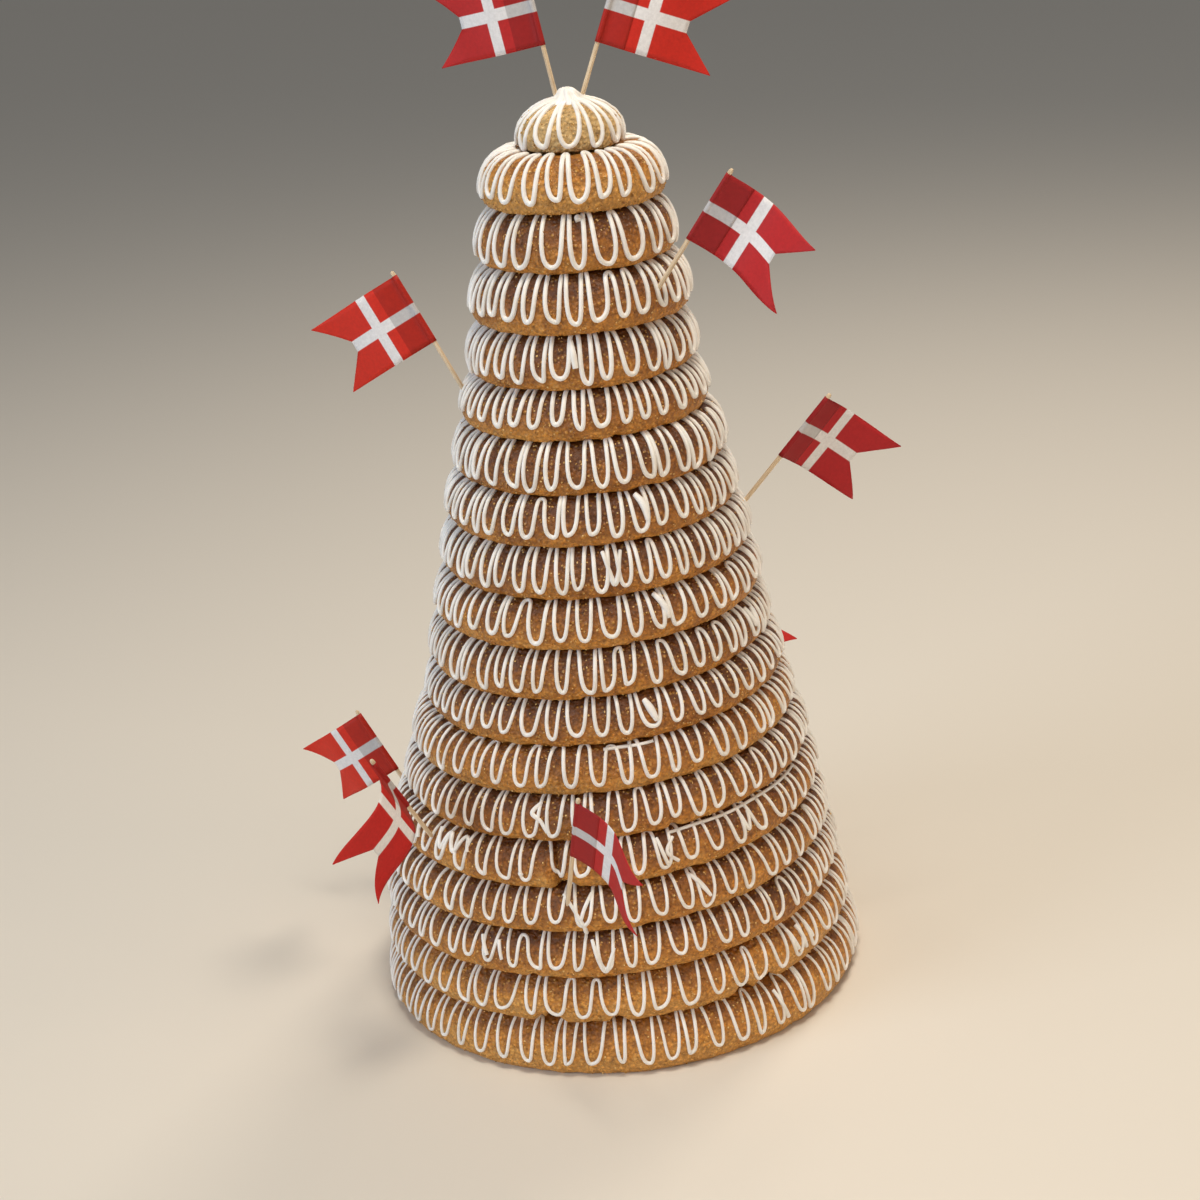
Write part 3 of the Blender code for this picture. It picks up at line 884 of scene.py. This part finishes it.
for number, (hoop, ring) in enumerate(zip(hoops, dough_rings), 1):
    top = TOP_RING_LEVEL if number == 1 else TOP_LEVEL
    loops = LOOPS[number - 1]
    first = random.Random(FIRST_LOOP_SEED + number).uniform(-0.5, 0.5) * 360 / loops
    turns = loop_turns(number, loops, first, LOWEST[number - 1], top, LEVEL_SPREAD)
    lower = (number - 1) / (RING_COUNT - 1)
    straight = LEG_HIGH + (LEG_LOW - LEG_HIGH) * lower
    lines = [(stroke_line(turns, FOOT_WIDE[number - 1], straight), True)]
    for ring_number, places in SLIPS:
        if ring_number == number:
            lines.append((stray_line(places), False))
    core = hoop["radius"] - CORE_INSET
    bead = BEAD_HIGH + (BEAD_LOW - BEAD_HIGH) * lower
    icing = pipe(f"icing_ring_{number:02d}", lines, ring, core, hoop["height"] * CORE_SHARE, bead)
    for piece, slot_name in ((ring, "dough"), (icing, "icing")):
        seat(piece.data, hoop)
        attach(piece, "root")
    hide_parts(f"ring_{number:02d}")


# --- The knob ---------------------------------------------------------------------------------------------
# A small ball of paler almond dough, pressed on top to close the tower. Its icing is piped in petals that run
# together at the tip, where the last of it is pulled up into a ridged peak.

KNOB_WIDEST_AT = 0.3
KNOB_PUFF = 0.84
KNOB_TUCK = 2.2 * MM
KNOB_STEPS = 110
DOME_POINTS = 20
TUCK_POINTS = 6
KNOB_STOPS = (
    (0.0, (0.72, 0.500, 0.235)),
    (0.5, (0.67, 0.440, 0.180)),
    (1.0, (0.54, 0.310, 0.095)),
)
KNOB_BEDDING = 0.9 * MM  # it lies on the piped icing of the top ring
PETALS = 12
PETAL_FOOT_WIDE = 0.2
PETAL_CORE_HEIGHT = 5 * MM
PETAL_LOW = -7
PETAL_TOP = 81
PEAK_RIDGES = 9
PEAK_PROFILE = (
    # radius and height above the top of the dough (mm)
    (10.5, -2.2), (9.2, -0.6), (7.6, 0.6), (6.1, 1.7),
    (5.0, 2.9), (4.1, 4.1), (2.9, 5.1), (1.5, 5.6),
)


def turned_grid(name, profile, steps, shape):
    """A closed turned mesh, from its upper pole down; shape moves each point of (radius, height, angle)."""
    points = []
    for radius, height in profile:
        for i in range(steps):
            points.append(shape(radius, height, math.tau * i / steps))
    faces = []
    rows = len(profile)
    for j in range(rows - 1):
        for i in range(steps):
            k = (i + 1) % steps
            faces.append((j * steps + i, (j + 1) * steps + i, (j + 1) * steps + k, j * steps + k))
    for row, reverse in ((0, False), (rows - 1, True)):
        ring = [row * steps + i for i in range(steps)]
        pole = sum((points[i] for i in ring), Vector()) / steps
        points.append(pole)
        for i in range(steps):
            face = (ring[i], ring[(i + 1) % steps], len(points) - 1)
            faces.append(face[::-1] if reverse else face)
    mesh = bpy.data.meshes.new(name)
    mesh.from_pydata(points, [], faces)
    return mesh


def knob_mesh(radius, height):
    """The dome: round above, tucked in a little at the foot and flat underneath."""
    widest = KNOB_WIDEST_AT * height
    profile = []
    for i in range(1, DOME_POINTS + 1):
        turn = math.pi / 2 * i / DOME_POINTS
        out = radius * math.sin(turn) ** KNOB_PUFF
        profile.append((out, widest + (height - widest) * math.cos(turn)))
    for i in range(1, TUCK_POINTS + 1):
        turn = math.pi / 2 * i / TUCK_POINTS
        profile.append((radius - KNOB_TUCK * (1 - math.cos(turn)), widest * (1 - math.sin(turn))))
    profile += [(radius * 0.7, 0.0), (radius * 0.3, 0.0)]

    def shape(out, up, angle):
        outward = Vector((math.sin(angle), -math.cos(angle), 0.0))
        wander = 1 + 0.03 * noise.noise(outward * 1.6 + Vector((0, 0, up / (12 * MM))))
        return outward * out * wander + Vector((0, 0, up))

    mesh = turned_grid("dough_knob", profile, KNOB_STEPS, shape)
    mark(mesh, "browned", [0.2 + 0.6 * v.co.z / height for v in mesh.vertices])
    mark(mesh, "outer", [min(1.0, v.co.z / (2 * MM)) for v in mesh.vertices])
    return mesh


def peak_mesh(top):
    """The pulled-up peak: ridges that run from the petals to a soft, slightly bent tip."""
    profile = [(radius * MM, height * MM) for radius, height in reversed(PEAK_PROFILE)]
    highest = profile[0][1]

    def shape(out, up, angle):
        share = max(0.0, up / highest)
        ridge = 1 + 0.15 * (1 - 0.6 * share) * math.cos(PEAK_RIDGES * angle + 1.5 * share)
        ridge += 0.08 * noise.noise(Vector((math.sin(angle), math.cos(angle), share * 3)))
        bent = 0.9 * MM * share**2
        return Vector((math.sin(angle) * out * ridge - bent, -math.cos(angle) * out * ridge, top + up))

    mesh = turned_grid("icing_peak", profile, 72, shape)
    mesh.shade_smooth()
    mesh.materials.append(icing_finish)
    return mesh


knob_low, knob_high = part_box("knob")
knob_middle = (knob_low + knob_high) / 2
top_hoop = hoops[0]
knob_seat = {
    "y": knob_middle.y,
    "radius": (knob_high.y - knob_low.y) / 2,
    "base_x": knob_middle.x - 0.35 * MM,
    "crown_x": knob_middle.x + 0.35 * MM,
    "base_z": top_hoop["crown_z"] + KNOB_BEDDING,
    "base_tilt": top_hoop["crown_tilt"],
    "crown_tilt": top_hoop["crown_tilt"],
    "height": knob_high.z - top_hoop["crown_z"] + 0.4 * MM,
}
knob_finish = make_dough_finish("knob_dough", KNOB_STOPS, (0.80, 0.62, 0.34))
knob = add_piece("dough_knob", knob_mesh(knob_seat["radius"], knob_seat["height"]))
grow(
    knob,
    crust_tree,
    {
        "Lump Size": 9 * MM,
        "Lump Depth": 0.6 * MM,
        "Pit Size": 3 * MM,
        "Pit Depth": 0.45 * MM,
        "Grains": 90000.0,
        "Grain Size": 0.5 * MM,
        "Seed": 40,
        "Dough": knob_finish,
        "Sugar": sugar_finish,
    },
)
petal_turns = loop_turns(19, PETALS, -4, PETAL_LOW, PETAL_TOP, 3)
petal_lines = [(stroke_line(petal_turns, PETAL_FOOT_WIDE, LEG_HIGH), True)]
petals = pipe("icing_knob", petal_lines, knob, 0.0, PETAL_CORE_HEIGHT, BEAD_HIGH)
peak = add_piece("icing_peak", peak_mesh(knob_seat["height"]))
for piece, slot_name in ((knob, "knob_dough"), (petals, "icing"), (peak, "icing")):
    seat(piece.data, knob_seat)
    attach(piece, "root")
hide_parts("knob")


# --- The picks --------------------------------------------------------------------------------------------
# Nine plain birch cocktail picks, turned thin and even, sharpened at the foot and softly rounded at the head.
# Each is pushed into the dough at its own slant.

PICK_COUNT = 9
STICK_SIDES = 14
STICK_ROUND = 7 * MM
STICK_PROFILE = (
    # distance from the point and radius (mm)
    (0.0, 0.12), (1.2, 0.36), (3.2, 0.74), (5.4, 0.98), (7.6, 1.06), (18.0, 1.1), (32.0, 1.08), (46.0, 1.1),
    (60.0, 1.07), (74.0, 1.09), (76.9, 1.06), (77.6, 0.86), (78.0, 0.42),
)


def pick_axis(node):
    """Where a pick's point is, the direction to its head, and its length."""
    points = {tuple(round(c, 6) for c in v.co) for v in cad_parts[node].data.vertices}
    points = [Vector(p) for p in points]
    middle = sum(points, Vector()) / len(points)
    one = max(points, key=lambda p: (p - middle).length)
    other = max(points, key=lambda p: (p - one).length)
    ends = []
    for end in (one, other):
        near = [p for p in points if (p - end).length < 2.4 * MM]
        ends.append(sum(near, Vector()) / len(near))
    foot, head = sorted(ends, key=lambda p: p.z)
    along = (head - foot).normalized()
    lowest = min((p - foot).dot(along) for p in points)
    highest = max((p - foot).dot(along) for p in points)
    return foot + along * lowest, along, highest - lowest


def pick_mesh(name, number, foot, along, length):
    """The stick as rings of points along its axis, with a UV map that runs round and along it, in metres."""
    across = along.orthogonal().normalized()
    beside = along.cross(across)
    stretch = length / (STICK_PROFILE[-1][0] * MM)
    points = []
    for far, radius in STICK_PROFILE:
        for i in range(STICK_SIDES):
            turn = math.tau * i / STICK_SIDES
            rough = 1 + 0.05 * noise.noise(Vector((math.cos(turn), math.sin(turn), number + far / 60)) * 2)
            out = across * math.cos(turn) + beside * math.sin(turn)
            points.append(foot + along * far * MM * stretch + out * radius * MM * rough)
    faces = []
    places = []
    for j in range(len(STICK_PROFILE) - 1):
        low, high = STICK_PROFILE[j][0] * MM, STICK_PROFILE[j + 1][0] * MM
        for i in range(STICK_SIDES):
            k = (i + 1) % STICK_SIDES
            near, far = j * STICK_SIDES, (j + 1) * STICK_SIDES
            faces.append((near + i, near + k, far + k, far + i))
            left, right = STICK_ROUND * i / STICK_SIDES, STICK_ROUND * (i + 1) / STICK_SIDES
            places += [(left, low), (right, low), (right, high), (left, high)]
    last = (len(STICK_PROFILE) - 1) * STICK_SIDES
    for ring, height in ((list(range(STICK_SIDES))[::-1], 0.0), (range(last, last + STICK_SIDES), length)):
        faces.append(tuple(ring))
        places += [(0.0, height)] * STICK_SIDES
    mesh = bpy.data.meshes.new(name)
    mesh.from_pydata(points, [], faces)
    uv = mesh.uv_layers.new(name="along_stick")
    for loop, (u, v) in zip(uv.data, places):
        loop.uv = (u, v + number * 0.2)
    mesh.shade_smooth()
    return mesh


def make_birch_finish():
    """Pale birch: straight fine grain along the stick, a few darker streaks, and a dry matt surface."""
    finish, tree, shader = start_finish("pick_birch", 0.6)
    place = place_node(tree, "ShaderNodeUVMap", {"uv_map": "along_stick"}, {}).outputs[0]
    values = {"Vector": place, "Scale": (1.0, 0.03, 1.0)}
    stretched = place_node(tree, "ShaderNodeMapping", {}, values).outputs[0]
    grain = noise_node(tree, stretched, 2600.0, 4.0, 0.6)
    streak = noise_node(tree, stretched, 700.0, 2.0, 0.5)
    colour = ramp_node(
        tree, grain, ((0.3, (0.54, 0.39, 0.23)), (0.5, (0.70, 0.55, 0.37)), (0.7, (0.80, 0.67, 0.49)))
    )
    darker = range_node(tree, streak, 0.55, 0.7, 0.0, 0.45)
    colour = mix_node(tree, "MIX", darker, colour, (0.42, 0.26, 0.12))
    tree.links.new(colour, shader.inputs["Base Color"])
    bump_finish(tree, shader, grain, 0.4, 0.1 * MM)
    return finish


birch_finish = make_birch_finish()
sticks = []
for number in range(1, PICK_COUNT + 1):
    foot, along, length = pick_axis(f"pick_{number}")
    stick = add_piece(f"birch_pick_{number}", pick_mesh(f"birch_pick_{number}", number, foot, along, length))
    stick.data.materials.append(birch_finish)
    sticks.append((foot, along))
    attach(stick, "root")
    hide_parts(f"pick_{number}")


# --- The paper flags --------------------------------------------------------------------------------------
# Swallow-tailed flags of thin printed paper, red with a white cross. The paper is folded once round the pick
# and glued to its own back, so a strip beside the pick is double; that strip is painted darker, as painted
# shade.

FLY = 54 * MM
TAB = 12.5 * MM
WRAP = 1.3 * MM
FLAT_FROM = 1.9 * MM
WRAP_OPENING = math.radians(20)
NOTCH_ROOT = 38 * MM
ROOT_DRIFT = 0.11
NOTCH_SHARE = 5.5 / 36
TIP_SHARE = 0.4 / 36
PAPER_THICK = 0.16 * MM
CREASE = 0.45 * MM

# For each flag: how the lower and upper tails curl (mm), and painted light on its red print, from crimson 0
# for a flag in cool, dim light to scarlet 1 for one in warm light.
FLAG_LOOKS = (
    (2.0, 1.0, 0.35),
    (-2.0, 1.5, 0.75),
    (2.5, -1.5, 0.25),
    (-1.5, 2.0, 0.95),
    (1.0, -2.0, 0.15),
    (1.5, 2.0, 0.5),
    (2.0, -4.0, 0.45),
    (2.5, 2.0, 0.3),
    (-2.0, 1.5, 1.0),
)


def flag_lie(node, foot, along):
    """How a flag lies: its foot on the pick, the way it flies, its hoist and the bow of its paper."""
    points = [v.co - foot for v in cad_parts[node].data.vertices]
    heights = [p.dot(along) for p in points]
    flat = [p - along * height for p, height in zip(points, heights)]
    root = [p for p in flat if abs(p.length - NOTCH_ROOT) < 0.5 * MM]
    fly = sum(root, Vector()).normalized()
    side = along.cross(fly)
    bowed = [p.dot(side) for p in flat if 18 * MM < p.length < 21.5 * MM]
    bow = sum(bowed) / len(bowed)
    fly = (fly * NOTCH_ROOT + side * bow * ROOT_DRIFT).normalized()
    side = along.cross(fly)
    return foot + along * min(heights), fly, side, max(heights) - min(heights), bow


def paper_columns(bow):
    """The paper's path seen along the pick, as (fly, side) points: the glued tab, the fold, then the sheet."""

    def sheet(x):
        share = max(0.0, x - FLAT_FROM) / (FLY - FLAT_FROM)
        return bow * math.sin(1.5 * math.pi * share)

    def spread(x):
        return max(0.0, 1 - (x - WRAP) / (2.6 * MM)) ** 2

    columns = []
    for i in range(9):
        x = TAB + (1.6 * MM - TAB) * i / 8
        columns.append((x, sheet(x) - 0.17 * MM - 0.2 * MM * spread(x), x / FLY))
    for i in range(13):
        turn = -WRAP_OPENING - (math.tau - 2 * WRAP_OPENING) * i / 12
        columns.append((WRAP * math.cos(turn), WRAP * math.sin(turn), 0.0))
    for i in range(18):
        x = 1.6 * MM + (NOTCH_ROOT - 1.6 * MM) * i / 17
        columns.append((x, sheet(x) + 0.25 * MM * spread(x), x / FLY))
    for i in range(1, 9):
        x = NOTCH_ROOT + (FLY - NOTCH_ROOT) * i / 8
        columns.append((x, sheet(x), x / FLY))
    return columns


def flag_mesh(name, number, lie, looks):
    """The sheet as three bands across the hoist; the middle one stops at the root of the notch."""
    foot, fly, side, hoist, bow = lie
    along = fly.cross(side)
    curl_low, curl_high, tint = looks
    columns = paper_columns(bow)
    points = []
    places = []

    def add_point(column, share):
        x, y, u = column
        tail_share = max(0.0, (x - 30 * MM) / (FLY - 30 * MM))
        curl = curl_low if share < 0.5 else curl_high
        y += curl * MM * tail_share**2 * abs(share - 0.5) * 2
        wrinkle = noise.noise(Vector((x / (13 * MM), share * 1.6, number * 5.7)))
        y += CREASE * wrinkle * min(1.0, max(0.0, x - WRAP) / (8 * MM))
        points.append(foot + fly * x + side * y + along * hoist * share)
        places.append((u, share))
        return len(points) - 1

    def open_share(x):
        """Half the notch's height at this distance along the fly, as a share of the hoist."""
        out = max(0.0, x - NOTCH_ROOT) / (FLY - NOTCH_ROOT)
        return NOTCH_SHARE / 2 + (0.5 - TIP_SHARE - NOTCH_SHARE / 2) * out

    faces = []
    rows = []
    for column in columns:
        half = open_share(column[0])
        low = [add_point(column, (0.5 - half) * j / 6) for j in range(7)]
        high = [add_point(column, 0.5 + half + (0.5 - half) * j / 6) for j in range(7)]
        middle = add_point(column, 0.5) if column[0] < NOTCH_ROOT + 0.01 * MM else None
        rows.append((low, middle, high))
    for (low, middle, high), (next_low, next_middle, next_high) in zip(rows, rows[1:]):
        for band, next_band in ((low, next_low), (high, next_high)):
            for j in range(6):
                faces.append((band[j], next_band[j], next_band[j + 1], band[j + 1]))
        if next_middle is not None:
            faces.append((low[6], next_low[6], next_middle, middle))
            faces.append((middle, next_middle, next_high[0], high[0]))
    mesh = bpy.data.meshes.new(name)
    mesh.from_pydata(points, [], faces)
    uv = mesh.uv_layers.new(name="printed")
    for loop in mesh.loops:
        uv.data[loop.index].uv = places[loop.vertex_index]
    # Stores each flag's painted light, for the paper finish.
    mark(mesh, "tint", [tint] * len(points))
    mesh.shade_smooth()
    return mesh


def make_paper_finish():
    """Printed paper: a white cross on red with soft print edges, painted light on the red for each flag,
    painted shade where it is double, faint fibres.
    """
    finish, tree, shader = start_finish("printed_paper", 0.6)
    shader.inputs["Specular IOR Level"].default_value = 0.3
    place = place_node(tree, "ShaderNodeUVMap", {"uv_map": "printed"}, {}).outputs[0]
    where = place_node(tree, "ShaderNodeTexCoord", {}, {}).outputs["Object"]
    parts = place_node(tree, "ShaderNodeSeparateXYZ", {}, {0: place}).outputs
    edge = math_node(tree, "SUBTRACT", noise_node(tree, where, 1500.0, 2.0, 0.5), 0.5)
    edge = math_node(tree, "MULTIPLY", edge, 0.004)
    arms = []
    for value, centre, half, soft in ((parts[0], 0.378, 0.050, 0.0035), (parts[1], 0.5, 0.077, 0.005)):
        away = math_node(tree, "ABSOLUTE", math_node(tree, "SUBTRACT", value, centre), 0.0)
        away = math_node(tree, "ADD", away, edge)
        arms.append(range_node(tree, away, half - soft, half + soft, 1.0, 0.0))
    cross = math_node(tree, "MAXIMUM", arms[0], arms[1])
    tint = place_node(tree, "ShaderNodeAttribute", {"attribute_name": "tint"}, {}).outputs["Fac"]
    # Painted light: each flag's red runs from crimson in cool, dim light to scarlet in warm light.
    red = mix_node(tree, "MIX", tint, (0.42, 0.012, 0.020), (0.64, 0.024, 0.008))
    fibres = noise_node(tree, where, 600.0, 4.0, 0.7)
    uneven = range_node(tree, fibres, 0.3, 0.7, 0.9, 1.1)
    red = shade_node(tree, red, uneven)
    white = shade_node(tree, (0.80, 0.79, 0.80), uneven)
    colour = mix_node(tree, "MIX", cross, red, white)
    # Painted shade: the double strip beside the pick is painted darker.
    double_strip_shade = range_node(tree, parts[0], TAB / FLY - 0.004, TAB / FLY + 0.004, 0.66, 1.0)
    colour = shade_node(tree, colour, double_strip_shade)
    tree.links.new(colour, shader.inputs["Base Color"])
    bump_finish(tree, shader, fibres, 0.25, 0.08 * MM)
    return finish


paper_finish = make_paper_finish()
for number, ((foot, along), looks) in enumerate(zip(sticks, FLAG_LOOKS), 1):
    name = f"paper_flag_{number}"
    lie = flag_lie(f"flag_{number}", foot, along)
    flag = add_piece(name, flag_mesh(name, number, lie, looks))
    flag.data.materials.append(paper_finish)
    paper = flag.modifiers.new("Paper", "SOLIDIFY")
    paper.thickness = PAPER_THICK
    paper.offset = 0.0
    keep_result(flag, paper)
    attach(flag, "root")
    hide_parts(f"flag_{number}")
